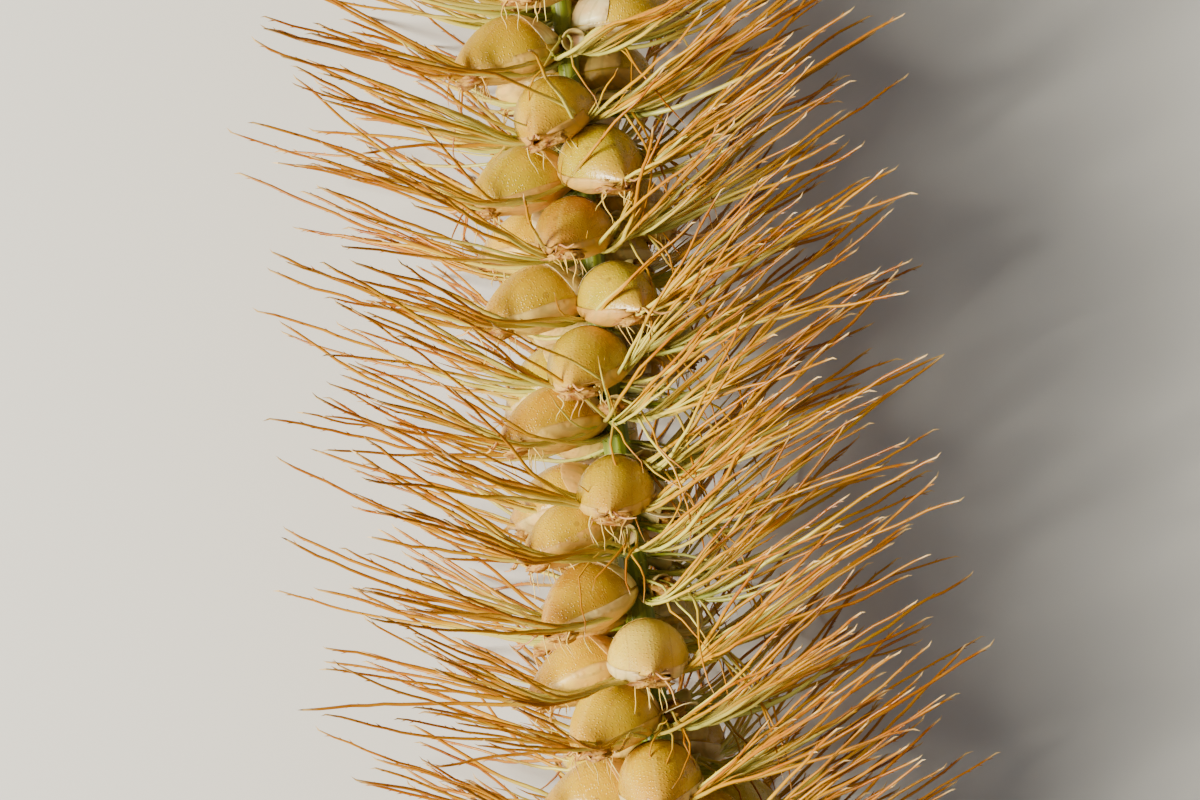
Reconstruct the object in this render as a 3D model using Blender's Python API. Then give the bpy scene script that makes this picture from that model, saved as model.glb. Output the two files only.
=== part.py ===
"""A ripe bristle-grass seed head, cut with a length of its stem and laid on a flat surface.

The head is a thin rachis that carries a spiral of plump spikelets, each with a fan of stiff bristles
that leaves from under its base. The cut end of the stem lies flat on the surface, the stem arches up
from there, and the lowest bristles prop the head, splayed on the surface.
Lengths are in metres. +Y runs along the head towards its tip, +Z is up, the surface is z = 0, and the
origin is on the surface under the middle of the whole piece. Azimuths turn about the rachis, from
straight up towards +X.
"""

import math

import bmesh
import bpy
import numpy as np
from mathutils import Matrix

MM = 0.001
DEG = math.pi / 180

# Driving dimensions of the cut piece
CUT_END_Y = -33.6 * MM
STEM_LENGTH = 26.0 * MM
HEAD_LENGTH = 36.0 * MM
STEM_RADIUS = 0.50 * MM
RACHIS_BASE_RADIUS = 0.44 * MM
RACHIS_TOP_RADIUS = 0.24 * MM
RACHIS_TIP_REACH = 0.60 * MM
JOINT_GAP = 0.05 * MM
HEAD_BASE_Y = CUT_END_Y + STEM_LENGTH
HEAD_TOP_Y = HEAD_BASE_Y + HEAD_LENGTH

# How it lies: a flat stretch at the cut end, then an arch up to the height of the head
RESTING_LENGTH = 2.5 * MM
ARCH_LENGTH = 35.0 * MM
ARCH_START_Y = CUT_END_Y + RESTING_LENGTH
ARCH_END_Y = ARCH_START_Y + ARCH_LENGTH
AXIS_HEIGHT = 6.2 * MM
BOW = 1.3 * MM
BOW_SPAN = 44.0 * MM

# The spiral of spikelets, counted from the tip down, with those that have dropped off
SPIKELETS = 100
RISE = 0.357 * MM
DIVERGENCE = 279.56 * DEG
FIRST_AZIMUTH = 146.5 * DEG
FALLEN = (8, 21, 24, 28, 30, 32, 37, 41, 46, 50, 51, 54, 55, 59, 60, 63, 64, 68, 72, 73, 77, 84, 93)
TURNED_ASIDE = {29: 8 * DEG, 33: 7 * DEG, 38: 15 * DEG, 42: 12 * DEG, 47: 18 * DEG, 52: 14 * DEG}
TURNED_ASIDE |= {56: 31 * DEG, 61: 15 * DEG, 65: -6 * DEG, 69: 6 * DEG, 74: 8 * DEG, 78: 5 * DEG}
SHIFTED = {42: -0.40 * MM, 56: -0.30 * MM, 61: 0.50 * MM, 65: 0.25 * MM, 74: 0.35 * MM}
TIP_TAPER = 9.0 * MM
BASE_TAPER = 5.0 * MM
SEED = 11

# One spikelet: an egg-shaped husk with a domed back, a flatter front and a pointed tip
HUSK_ROOT = 0.08 * MM
HUSK_LENGTH = 3.30 * MM
HUSK_HALF_WIDTH = 1.00 * MM
DOME_HEIGHT = 1.15 * MM
FRONT_DEPTH = 0.34 * MM
DROOP = -13 * DEG
TIP_LIFT = 66 * DEG
TIP_SIZE = 0.66
BASE_SIZE = 0.80
SIZE_SCATTER = 0.04
TURN_SCATTER = 4 * DEG
TILT_SCATTER = 5 * DEG
TWIST_SCATTER = 7 * DEG
RISE_SCATTER = 0.10 * MM
PEDICEL_LENGTH = 0.95 * MM
PEDICEL_RADIUS = 0.14 * MM
CUP_RADIUS = 0.33 * MM

# The bristles: a fan starts below each spikelet, curves up past it and parts along the upper side
BRISTLES = 13
BRISTLE_STEPS = 16
BRISTLE_RADIUS = 0.070 * MM
BRISTLE_ROOT_DROP = 0.35 * MM
LONG_BRISTLES = (7.2 * MM, 9.8 * MM)
SHORT_BRISTLES = (5.2 * MM, 8.6 * MM)
EVERY_LONG = 4
FAN = 36 * DEG
START_LIFT = -20 * DEG
BRISTLE_LIFT = 25 * DEG
TIP_START_LIFT = 54 * DEG
TIP_BRISTLE_LIFT = 72 * DEG
PARTING = -4 * DEG
PARTING_REACH = 72 * DEG
PARTED_FROM = 46 * DEG
UNPARTED_SHARE = 0.07
FAN_KEPT = 0.62
ROOT_SCATTER = 3 * DEG
AIM_SCATTER = 7 * DEG
LIFT_SCATTER = 7 * DEG
TIP_SHORTENING = 0.72
WAVES = 6.3
SWAY = 9 * DEG
NOD = 8 * DEG
TURNED_BY = 0.45
LIFTED_BY = 0.40
WAVING_BY = 0.20
SIDESTEP = 0.75
LOWEST_SEEN = -0.35
UPRIGHT = 0.45
CLEARANCE = 0.05 * MM

# How coarse the solids are: the outline goes round a husk's section, as shares of its width and depth
NEEDLE_RADIUS = 0.086 * MM
NEEDLE_BEND = 9
NEEDLE_START = 0.9 * MM
HUSK_RINGS = (0.0, 0.27, 0.68, 1.0)
HUSK_OUTLINE = (
    (1.0, 0.0),
    (0.60, 0.66),
    (0.0, 1.0),
    (-0.60, 0.66),
    (-1.0, 0.0),
    (-0.62, -1.0),
    (0.62, -1.0),
)
CUP_SIDES = 6
ROD_SIDES = 8
STEM_JOINTS = 13
RACHIS_JOINTS = 12


def smooth(t):
    t = np.clip(t, 0.0, 1.0)
    return t * t * (3 - 2 * t)


def mix(a, b, t):
    return a + (b - a) * t


def unit(v):
    return v / np.linalg.norm(v, axis=-1, keepdims=True)


def axis_point(y):
    """The middle of the stem or of the rachis at y."""
    lying = STEM_RADIUS * math.cos(math.pi / ROD_SIDES)
    z = mix(lying, AXIS_HEIGHT, smooth((y - ARCH_START_Y) / ARCH_LENGTH))
    return np.array([BOW * ((y - ARCH_END_Y) / BOW_SPAN) ** 2, y, z])


def axis_frame(y):
    """The axis's direction towards the tip at y, and its sideways and upward normals."""
    step = 0.01 * MM
    tangent = unit(axis_point(y + step) - axis_point(y - step))
    side = unit(np.cross(tangent, (0.0, 0.0, 1.0)))
    return tangent, side, np.cross(side, tangent)


def outward(azimuth, side, up):
    return math.cos(azimuth) * up + math.sin(azimuth) * side


def rachis_radius(y):
    return mix(RACHIS_BASE_RADIUS, RACHIS_TOP_RADIUS, smooth((y - HEAD_BASE_Y) / HEAD_LENGTH))


def plan_spikelets():
    """Each spikelet's root, directions and size, and whether it has fallen."""
    draw = np.random.default_rng(SEED)
    plan = []
    for n in range(SPIKELETS):
        slip, turn, tilt, roll, grow = draw.normal(size=5)
        down = n * RISE
        y = HEAD_TOP_Y - down + SHIFTED.get(n, RISE_SCATTER * slip)
        azimuth = FIRST_AZIMUTH + n * DIVERGENCE + TURNED_ASIDE.get(n, TURN_SCATTER * turn)
        from_tip = smooth(down / TIP_TAPER)
        from_base = smooth((HEAD_LENGTH - down) / BASE_TAPER)
        lift = mix(TIP_LIFT, DROOP, from_tip) + TILT_SCATTER * tilt
        tangent, side, up = axis_frame(y)
        radial = outward(azimuth, side, up)
        along = math.cos(lift) * radial + math.sin(lift) * tangent
        back = math.cos(lift) * tangent - math.sin(lift) * radial
        across = np.cross(back, along)
        twist = TWIST_SCATTER * roll
        size = mix(TIP_SIZE, 1.0, from_tip) * mix(BASE_SIZE, 1.0, from_base)
        plan.append(
            {
                "y": y,
                "azimuth": azimuth,
                "from_tip": from_tip,
                "size": size * (1 + SIZE_SCATTER * grow),
                "root": axis_point(y) + HUSK_ROOT * radial,
                "along": along,
                "back": math.cos(twist) * back + math.sin(twist) * across,
                "across": math.cos(twist) * across - math.sin(twist) * back,
                "fallen": n in FALLEN,
            }
        )
    return plan


def fullness(u):
    """A husk's width at u, which is 0 at its root and 1 at its tip, as a share of its greatest width."""
    return np.sin(math.pi * np.clip(u, 0.0, 1.0) ** 0.88) ** 0.8


def parted(azimuth):
    """The azimuth a bristle leans to: on the upper side, away from the parting to the left or right."""
    off = (azimuth - PARTING + math.pi) % (2 * math.pi) - math.pi
    pushed = max(abs(off), mix(PARTED_FROM, PARTING_REACH, abs(off) / PARTING_REACH))
    return azimuth - off + math.copysign(pushed, off)


def push_clear(points, plan):
    """Moves each point that is inside a husk, or too near one, out across the husk's length."""
    gap = BRISTLE_RADIUS + CLEARANCE
    for husk in plan:
        if husk["fallen"]:
            continue
        reach = points - husk["root"]
        u = reach @ husk["along"] / (HUSK_LENGTH * husk["size"])
        full = fullness(u) * husk["size"]
        back, across = reach @ husk["back"], reach @ husk["across"]
        depth = full * np.where(back > 0, DOME_HEIGHT, FRONT_DEPTH) + gap
        inside = np.hypot(back / depth, across / (full * HUSK_HALF_WIDTH + gap))
        hit = (u > 0.06) & (u < 1) & (inside < 1)
        shift = (1 / np.maximum(inside[hit], 0.15) - 1)[:, None]
        points[hit] += shift * (back[hit, None] * husk["back"] + across[hit, None] * husk["across"])
    return points


def step_beside(points, plan):
    """Moves each point that lies over a husk, as seen from above, off to the nearer side of it."""
    for husk in plan:
        length = HUSK_LENGTH * husk["size"]
        flat = husk["along"][:2] * length
        if husk["fallen"] or husk["along"][2] < LOWEST_SEEN or np.linalg.norm(flat) < UPRIGHT * length:
            continue
        aside = np.array((-flat[1], flat[0])) / np.linalg.norm(flat)
        aside *= math.copysign(1, aside @ husk["back"][:2])
        reach = points - husk["root"]
        u = reach[:, :2] @ flat / (flat @ flat)
        off = reach[:, :2] @ aside
        full = fullness(u) * husk["size"]
        to_back, to_front = DOME_HEIGHT * full - off, FRONT_DEPTH * full + off
        over = reach[:, 2] > husk["along"][2] * length * u
        hit = over & (u > 0.1) & (u < 1) & (to_back > 0) & (to_front > 0)
        move = np.where(to_back < to_front, to_back, -to_front)
        points[hit, :2] += SIDESTEP * move[hit, None] * aside
    return points


def plan_bristles(plan):
    """The centre lines of all bristles, fan by fan, each marched out from its root in equal steps."""
    draw = np.random.default_rng(SEED + 1)
    roots, turns, lifts, lengths, frames, waves = [], [], [], [], [], []
    for husk in plan:
        tangent, side, up = axis_frame(husk["y"])
        from_tip = husk["from_tip"]
        for k in range(BRISTLES):
            sway, aside, rise = draw.normal(size=3)
            spread = FAN * (2 * k / (BRISTLES - 1) - 1)
            azimuth = husk["azimuth"] + spread + ROOT_SCATTER * sway
            aim = husk["azimuth"] + FAN_KEPT * spread + AIM_SCATTER * aside
            if draw.random() > UNPARTED_SHARE:
                aim = parted(aim)
            start = mix(TIP_START_LIFT, START_LIFT, from_tip)
            end = mix(TIP_BRISTLE_LIFT, BRISTLE_LIFT, from_tip) + LIFT_SCATTER * rise
            shortest, longest = SHORT_BRISTLES if k % EVERY_LONG else LONG_BRISTLES
            root = axis_point(husk["y"]) - BRISTLE_ROOT_DROP * from_tip * tangent
            roots.append(root + 0.5 * rachis_radius(husk["y"]) * outward(azimuth, side, up))
            turns.append((azimuth, aim))
            lifts.append((start, end))
            lengths.append(draw.uniform(shortest, longest) * mix(TIP_SHORTENING, 1.0, from_tip))
            frames.append((tangent, side, up))
            waves.append(draw.uniform(-1, 1, size=6))
    points, frames, waves = np.array(roots), np.array(frames), np.array(waves)
    (azimuth, aim), (start, end) = np.array(turns).T, np.array(lifts).T
    step = np.array(lengths)[:, None] / BRISTLE_STEPS
    line = [points]
    for i in range(BRISTLE_STEPS):
        t = (i + 0.5) / BRISTLE_STEPS
        wavy = smooth(t / WAVING_BY)
        sway = wavy * waves[:, 0] * np.sin(WAVES * t * (1 + 0.5 * waves[:, 1]) + math.pi * waves[:, 2])
        nod = wavy * waves[:, 3] * np.sin(WAVES * t * (1 + 0.5 * waves[:, 4]) + math.pi * waves[:, 5])
        turn = (mix(azimuth, aim, smooth(t / TURNED_BY)) + SWAY * sway)[:, None]
        lift = (mix(start, end, smooth(t / LIFTED_BY)) + NOD * nod)[:, None]
        outwards = np.cos(turn) * frames[:, 2] + np.sin(turn) * frames[:, 1]
        ahead = points + step * (np.cos(lift) * outwards + np.sin(lift) * frames[:, 0])
        if i > 0:
            ahead = push_clear(step_beside(ahead, plan), plan)
        lying = BRISTLE_RADIUS * (1 - t)
        ahead[:, 2] = np.maximum(ahead[:, 2], lying)
        points = points + unit(ahead - points) * step
        points[:, 2] = np.maximum(points[:, 2], lying)
        line.append(points)
    lines = np.array(line).transpose(1, 0, 2)
    for _ in range(2):
        lines[:, 1:-1] = 0.25 * lines[:, :-2] + 0.5 * lines[:, 1:-1] + 0.25 * lines[:, 2:]
    return lines.reshape(len(plan), BRISTLES, BRISTLE_STEPS + 1, 3)


def rod_template(sides, joints, pointed=False):
    """A cylinder or a cone along Z, 1 unit high for each joint and cut across at each of them."""
    rod = bmesh.new()
    tip_radius = 0 if pointed else 1
    bmesh.ops.create_cone(
        rod, cap_ends=True, segments=sides, radius1=1, radius2=tip_radius, depth=joints
    )
    for joint in range(1, joints):
        bmesh.ops.bisect_plane(
            rod,
            geom=rod.verts[:] + rod.edges[:] + rod.faces[:],
            plane_co=(0, 0, joint - joints / 2),
            plane_no=(0, 0, 1),
        )
    bmesh.ops.remove_doubles(rod, verts=rod.verts[:], dist=1e-4)
    return rod


def laid_along(template, path, tangents, radii):
    """A mesh of the rod template with each of its joints moved to the path's next point."""
    rod = template.copy()
    joints = len(path) - 1
    side = np.cross((0.0, 0.0, 1.0), tangents[0])
    sides = []
    for tangent in tangents:
        side = unit(side - tangent * (side @ tangent))
        sides.append(side)
    for vertex in rod.verts:
        joint = round(vertex.co.z + joints / 2)
        radius = radii[joint] if vertex.co.xy.length > 1e-3 else 0.0
        angle = math.atan2(vertex.co.y, vertex.co.x) + math.pi / ROD_SIDES
        up = np.cross(tangents[joint], sides[joint])
        vertex.co = path[joint] + radius * (math.cos(angle) * sides[joint] + math.sin(angle) * up)
        vertex.co.z = max(vertex.co.z, 0.0)
    mesh = bpy.data.meshes.new("rod")
    rod.to_mesh(mesh)
    rod.free()
    return mesh


def axis_rod(ys, radii):
    path = np.array([axis_point(y) for y in ys])
    tangents = [axis_frame(y)[0] for y in ys]
    return laid_along(rod_template(ROD_SIDES, len(ys) - 1), path, tangents, radii)


def husk_template():
    """A sphere drawn out into a husk of size 1: its root at the origin, its tip on +Z, its back on +Y."""
    husk = bmesh.new()
    sides, levels = len(HUSK_OUTLINE), len(HUSK_RINGS) - 1
    bmesh.ops.create_uvsphere(husk, u_segments=sides, v_segments=levels, radius=1)
    for vertex in husk.verts:
        u = HUSK_RINGS[round(math.acos(max(-1.0, min(1.0, -vertex.co.z))) / math.pi * levels)]
        full = float(fullness(u))
        side = round(math.atan2(vertex.co.y, vertex.co.x) / (2 * math.pi) * sides) % sides
        across, back = HUSK_OUTLINE[side]
        vertex.co.x = full * HUSK_HALF_WIDTH * across
        vertex.co.y = full * back * (DOME_HEIGHT if back > 0 else FRONT_DEPTH)
        vertex.co.z = u * HUSK_LENGTH
    return husk


def pedicel_template():
    """The short stalk, widening to its cup, that a fallen spikelet leaves behind."""
    stalk = bmesh.new()
    bmesh.ops.create_cone(
        stalk,
        cap_ends=True,
        segments=CUP_SIDES,
        radius1=PEDICEL_RADIUS,
        radius2=CUP_RADIUS,
        depth=PEDICEL_LENGTH,
        matrix=Matrix.Translation((0, 0, PEDICEL_LENGTH / 2)),
    )
    return stalk


def grown(template, spikelet):
    """A mesh of the template at the spikelet's place."""
    columns = (spikelet["across"], spikelet["back"], spikelet["along"])
    place = Matrix([[float(column[i]) for column in columns] for i in range(3)]).to_4x4()
    place.translation = spikelet["root"]
    solid = template.copy()
    solid.transform(place @ Matrix.Scale(spikelet["size"], 4))
    mesh = bpy.data.meshes.new("spikelet")
    solid.to_mesh(mesh)
    solid.free()
    return mesh


def needle(template, spikelet, points):
    """A coarse bristle through the points, rooted in its husk, or in the rachis if that has fallen."""
    path = np.array(points)
    if not spikelet["fallen"]:
        path[0] = spikelet["root"] + NEEDLE_START * spikelet["size"] * spikelet["along"]
    radii = [NEEDLE_RADIUS] * (len(path) - 1) + [0.0]
    return laid_along(template, path, unit(np.gradient(path, axis=0)), radii)


def material(name, colour, roughness):
    made = bpy.data.materials.new(name)
    made.use_nodes = True
    shader = made.node_tree.nodes["Principled BSDF"]
    shader.inputs["Base Color"].default_value = (*colour, 1)
    shader.inputs["Roughness"].default_value = roughness
    shader.inputs["Metallic"].default_value = 0.0
    return made


def add(name, mesh, collection):
    made = bpy.data.objects.new(name, mesh)
    collection.objects.link(made)
    return made


def grow_together(body, repeats):
    """Joins every object of the collection to the body, then removes them and the collection."""
    union = body.modifiers.new("grown together", "BOOLEAN")
    union.operation = "UNION"
    union.operand_type = "COLLECTION"
    union.collection = repeats
    union.solver = "MANIFOLD"
    bpy.context.view_layer.update()
    evaluated = body.evaluated_get(bpy.context.evaluated_depsgraph_get())
    whole = bpy.data.meshes.new_from_object(evaluated)
    body.modifiers.clear()
    body.data = whole
    for joined in list(repeats.objects):
        bpy.data.objects.remove(joined)
    bpy.data.collections.remove(repeats)


def fill_sealed_hollows(mesh):
    """Removes every shell of the mesh but the largest: the small spaces sealed between the husks."""
    solid = bmesh.new()
    solid.from_mesh(mesh)
    shells, left = [], set(solid.verts)
    while left:
        shell, edge_of_shell = set(), [left.pop()]
        while edge_of_shell:
            vertex = edge_of_shell.pop()
            shell.add(vertex)
            near = {edge.other_vert(vertex) for edge in vertex.link_edges} & left
            left -= near
            edge_of_shell.extend(near)
        shells.append(shell)
    shells.sort(key=len)
    for shell in shells[:-1]:
        bmesh.ops.delete(solid, geom=list(shell), context="VERTS")
    solid.to_mesh(mesh)
    solid.free()


def make_stem(collection):
    arch = np.linspace(ARCH_START_Y, HEAD_BASE_Y - JOINT_GAP, STEM_JOINTS)
    radii = np.linspace(STEM_RADIUS, RACHIS_BASE_RADIUS, STEM_JOINTS)
    mesh = axis_rod([CUT_END_Y, *arch], [STEM_RADIUS, *radii])
    mesh.materials.append(material("stem_green", (0.42, 0.47, 0.17), 0.55))
    mesh.shade_smooth()
    mesh.set_sharp_from_angle(angle=50 * DEG)
    add("stem", mesh, collection)


def make_seed_head(collection):
    spikelets = plan_spikelets()
    ys = np.linspace(HEAD_BASE_Y, HEAD_TOP_Y + RACHIS_TIP_REACH, RACHIS_JOINTS + 1)
    head = add("seed_head", axis_rod(ys, [rachis_radius(y) for y in ys]), collection)
    repeats = bpy.data.collections.new("repeats")
    bpy.context.scene.collection.children.link(repeats)
    husk, pedicel = husk_template(), pedicel_template()
    straight, bent = rod_template(3, 1, pointed=True), rod_template(3, 2, pointed=True)
    for spikelet, fan in zip(spikelets, plan_bristles(spikelets)):
        add("spikelet", grown(pedicel if spikelet["fallen"] else husk, spikelet), repeats)
        first, *inner, last = fan[::EVERY_LONG]
        for line in (first, last):
            points = line[[0, NEEDLE_BEND, BRISTLE_STEPS]]
            add("bristle", needle(bent, spikelet, points), repeats)
        for line in inner:
            points = line[[0, BRISTLE_STEPS]]
            add("bristle", needle(straight, spikelet, points), repeats)
    grow_together(head, repeats)
    fill_sealed_hollows(head.data)
    head.data.materials.clear()
    head.data.materials.append(material("ripe_gold", (0.72, 0.50, 0.20), 0.50))


def main():
    for old in list(bpy.data.objects):
        bpy.data.objects.remove(old)
    collection = bpy.data.collections.new("grass_seed_head")
    bpy.context.scene.collection.children.link(collection)
    make_stem(collection)
    make_seed_head(collection)


main()
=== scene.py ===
"""The looks of a ripe bristle-grass seed head that lies on a pale floor, seen from straight above.

The head is a green rachis with a spiral of plump spikelets. Each spikelet is a hard, finely wrinkled
lemma with a domed back. A papery lower lemma hangs under it, glumes clasp its base, and
withered threads are left of its flower. A fan of finely barbed bristles leaves from under each one and
parts to the left and right on the upper side. Small cups are left where spikelets have dropped off.
Lengths are in metres. +Y runs along the head towards its tip, +Z is up, and azimuths turn about the
rachis from straight up towards +X.
"""

import math

import bmesh
import bpy
import numpy as np
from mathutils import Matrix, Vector

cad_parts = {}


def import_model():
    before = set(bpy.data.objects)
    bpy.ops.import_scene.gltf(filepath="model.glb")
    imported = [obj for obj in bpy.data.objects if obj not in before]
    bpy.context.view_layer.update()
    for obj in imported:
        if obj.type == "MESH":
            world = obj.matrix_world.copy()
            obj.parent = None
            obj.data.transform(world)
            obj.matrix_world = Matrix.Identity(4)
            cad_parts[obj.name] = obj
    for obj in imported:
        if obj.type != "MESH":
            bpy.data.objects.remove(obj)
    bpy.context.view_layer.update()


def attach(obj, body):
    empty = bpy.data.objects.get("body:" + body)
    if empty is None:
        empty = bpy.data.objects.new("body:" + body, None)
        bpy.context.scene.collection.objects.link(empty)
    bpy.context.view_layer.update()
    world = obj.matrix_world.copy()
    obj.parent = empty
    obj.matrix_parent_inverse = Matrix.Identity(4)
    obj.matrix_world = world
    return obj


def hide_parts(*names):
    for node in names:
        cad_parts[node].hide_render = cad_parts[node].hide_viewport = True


MM = 0.001
DEG = math.pi / 180

# The cut piece, with the same driving dimensions as the solids
CUT_END_Y = -33.6 * MM
STEM_LENGTH = 26.0 * MM
HEAD_LENGTH = 36.0 * MM
STEM_RADIUS = 0.50 * MM
RACHIS_BASE_RADIUS = 0.44 * MM
RACHIS_TOP_RADIUS = 0.24 * MM
RACHIS_TIP_REACH = 0.60 * MM
HEAD_BASE_Y = CUT_END_Y + STEM_LENGTH
HEAD_TOP_Y = HEAD_BASE_Y + HEAD_LENGTH
RESTING_LENGTH = 2.5 * MM
ARCH_LENGTH = 35.0 * MM
ARCH_START_Y = CUT_END_Y + RESTING_LENGTH
ARCH_END_Y = ARCH_START_Y + ARCH_LENGTH
AXIS_HEIGHT = 6.2 * MM
BOW = 1.3 * MM
BOW_SPAN = 44.0 * MM
ROD_SIDES = 8

# The spiral of spikelets, counted from the tip down: which of them have dropped off, and how far single
# ones are turned or shifted from their place on it
SPIKELETS = 100
RISE = 0.357 * MM
DIVERGENCE = 279.56 * DEG
FIRST_AZIMUTH = 146.5 * DEG
FALLEN = (8, 21, 24, 28, 30, 32, 37, 41, 46, 50, 51, 54, 55, 59, 60, 63, 64, 68, 72, 73, 77, 84, 93)
TURNED_ASIDE = {29: 8 * DEG, 33: 7 * DEG, 38: 15 * DEG, 42: 12 * DEG, 47: 18 * DEG, 52: 14 * DEG}
TURNED_ASIDE |= {56: 31 * DEG, 61: 15 * DEG, 65: -6 * DEG, 69: 6 * DEG, 74: 8 * DEG, 78: 5 * DEG}
SHIFTED = {42: -0.40 * MM, 56: -0.30 * MM, 61: 0.50 * MM, 65: 0.25 * MM, 74: 0.35 * MM}
TIP_TAPER = 9.0 * MM
BASE_TAPER = 5.0 * MM
SEED = 11

# One spikelet
HUSK_ROOT = 0.08 * MM
HUSK_LENGTH = 3.30 * MM
HUSK_HALF_WIDTH = 1.00 * MM
DOME_HEIGHT = 1.15 * MM
FRONT_DEPTH = 0.34 * MM
DROOP = -13 * DEG
TIP_LIFT = 66 * DEG
TIP_SIZE = 0.66
BASE_SIZE = 0.80
SIZE_SCATTER = 0.04
TURN_SCATTER = 4 * DEG
TILT_SCATTER = 5 * DEG
TWIST_SCATTER = 7 * DEG
RISE_SCATTER = 0.10 * MM
PEDICEL_LENGTH = 0.95 * MM
PEDICEL_RADIUS = 0.14 * MM
CUP_RADIUS = 0.33 * MM

# The bristles
BRISTLES = 13
BRISTLE_STEPS = 16
BRISTLE_RADIUS = 0.070 * MM
BRISTLE_ROOT_DROP = 0.35 * MM
LONG_BRISTLES = (7.2 * MM, 9.8 * MM)
SHORT_BRISTLES = (5.2 * MM, 8.6 * MM)
EVERY_LONG = 4
FAN = 36 * DEG
START_LIFT = -20 * DEG
BRISTLE_LIFT = 25 * DEG
TIP_START_LIFT = 54 * DEG
TIP_BRISTLE_LIFT = 72 * DEG
PARTING = -4 * DEG
PARTING_REACH = 72 * DEG
PARTED_FROM = 46 * DEG
UNPARTED_SHARE = 0.07
FAN_KEPT = 0.62
ROOT_SCATTER = 3 * DEG
AIM_SCATTER = 7 * DEG
LIFT_SCATTER = 7 * DEG
TIP_SHORTENING = 0.72
WAVES = 6.3
SWAY = 9 * DEG
NOD = 8 * DEG
TURNED_BY = 0.45
LIFTED_BY = 0.40
WAVING_BY = 0.20
SIDESTEP = 0.75
LOWEST_SEEN = -0.35
UPRIGHT = 0.45
CLEARANCE = 0.05 * MM

# Looks only: how the husk's section bulges, its keel and beak, and the papery skins
PLUMPNESS = 1.08
DOME_POWER = 2.0
FRONT_POWER = 2.5
KEEL_RISE = 0.008
KEEL_WIDTH = 0.12
BEAK = 0.16 * MM
BEAK_START = 0.985
SKIN = 0.022 * MM
CUP_SIDES = 16
LEMMA_WRAP = 97 * DEG
GLUME_WRAP = 84 * DEG

# How far each piece is ruffled out of its plain shape, and the scale of the ruffles
RUFFLES = {"husks": (0.03 * MM, 900.0), "lower_lemmas": (0.16 * MM, 900.0)}
RUFFLES |= {"upper_glumes": (0.08 * MM, 900.0), "loose_scales": (0.12 * MM, 900.0)}
RUFFLES |= {"cups": (0.05 * MM, 900.0), "scraps": (0.30 * MM, 1400.0)}
RUFFLES |= {"withered_flowers": (0.34 * MM, 1700.0)}

# The barbed bristles: the inputs of their tree, and their girth from root to tip
BRISTLE_SIZES = {"Radius": 0.060 * MM, "Sides": 5, "Points": 22, "Seed": 3, "Kink": 0.50 * MM}
BRISTLE_SIZES |= {"KinkScale": 800.0, "Barbs": 30, "BarbLean": 27 * DEG}
BRISTLE_SIZES |= {"BarbLength": 0.20 * MM, "BarbRadius": 0.030 * MM}
BRISTLE_GIRTHS = ((0.0, 0.80), (0.12, 1.0), (0.35, 0.96), (0.6, 0.80), (0.97, 0.58), (1.0, 0.42))

# Plain strands, by radius and kink: finer bristles, curls over the bare places and hanging threads
STRANDS = {"fine_bristles": (0.045 * MM, 0.3 * MM), "curled_bristles": (0.060 * MM, 0.7 * MM)}
STRANDS |= {"threads": (0.021 * MM, 0.35 * MM)}
STRAND_SIZES = {"Sides": 5, "Points": 12, "KinkScale": 1500.0, "Seed": 8}
STRAND_GIRTHS = ((0.0, 1.0), (0.3, 0.9), (0.7, 0.7), (0.95, 0.4), (1.0, 0.1))
FINE_REACH = (0.38, 0.72)
FINE_POINTS = 10
CURLS = 4
CURL_LENGTHS = (2.6 * MM, 4.6 * MM)
CURL_BEND = (0.4, 1.1)
CURL_SWAY = 0.4
CURL_POINTS = 12
THREADS = 8
THREAD_POINTS = 8
THREAD_REACH = (0.66, 0.93)

# The ribbed stem and rachis, and their hairs, counted for each square metre
ROD_SIZES = {"Sides": 36, "Ribs": 9, "RibHeight": 0.035, "Seed": 4}
ROD_SIZES |= {"HairLength": 0.30 * MM, "HairRadius": 0.010 * MM}
RACHIS_HAIRS = 1.6e7
STEM_HAIRS = 2.0e6

# The size and place in millimetres of the crumpled remnants, at a bare cup and in a husk's mouth
SCRAP = ((0.34, 0.22, 0.42), (0, 0, 1.0))
FLOWER = ((0.52, 0.15, 0.36), (0, -0.28, 2.72))

# How ripe the husks that face the camera are, from yellow-green 0 over gold to tan 0.85 and cream 1
RIPENESS = {29: 0.42, 33: 0.12, 38: 0.80, 42: 0.08, 43: 0.45}
RIPENESS |= {47: 0.25, 56: 0.38, 65: 0.76, 69: 0.98, 78: 0.5}
OTHER_RIPENESS = (0.1, 0.8)

# The photograph's view: straight down on the middle of the head, which leans to the left at its top
VIEW_Y = 10.32 * MM
VIEW_LEAN = 8 * DEG
VIEW_ASIDE = 0.27 * MM
FRAME_WIDTH = 31.2 * MM
LENS = 200.0
SENSOR = 36.0


def smooth(t):
    t = np.clip(t, 0.0, 1.0)
    return t * t * (3 - 2 * t)


def mix(a, b, t):
    return a + (b - a) * t


def unit(v):
    return v / np.linalg.norm(v, axis=-1, keepdims=True)


def axis_point(y):
    """The middle of the stem or of the rachis at y."""
    lying = STEM_RADIUS * math.cos(math.pi / ROD_SIDES)
    z = mix(lying, AXIS_HEIGHT, smooth((y - ARCH_START_Y) / ARCH_LENGTH))
    return np.array([BOW * ((y - ARCH_END_Y) / BOW_SPAN) ** 2, y, z])


def axis_frame(y):
    """The axis's direction towards the tip at y, and its sideways and upward normals."""
    step = 0.01 * MM
    tangent = unit(axis_point(y + step) - axis_point(y - step))
    side = unit(np.cross(tangent, (0.0, 0.0, 1.0)))
    return tangent, side, np.cross(side, tangent)


def outward(azimuth, side, up):
    return math.cos(azimuth) * up + math.sin(azimuth) * side


def rachis_radius(y):
    return mix(RACHIS_BASE_RADIUS, RACHIS_TOP_RADIUS, smooth((y - HEAD_BASE_Y) / HEAD_LENGTH))


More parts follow.
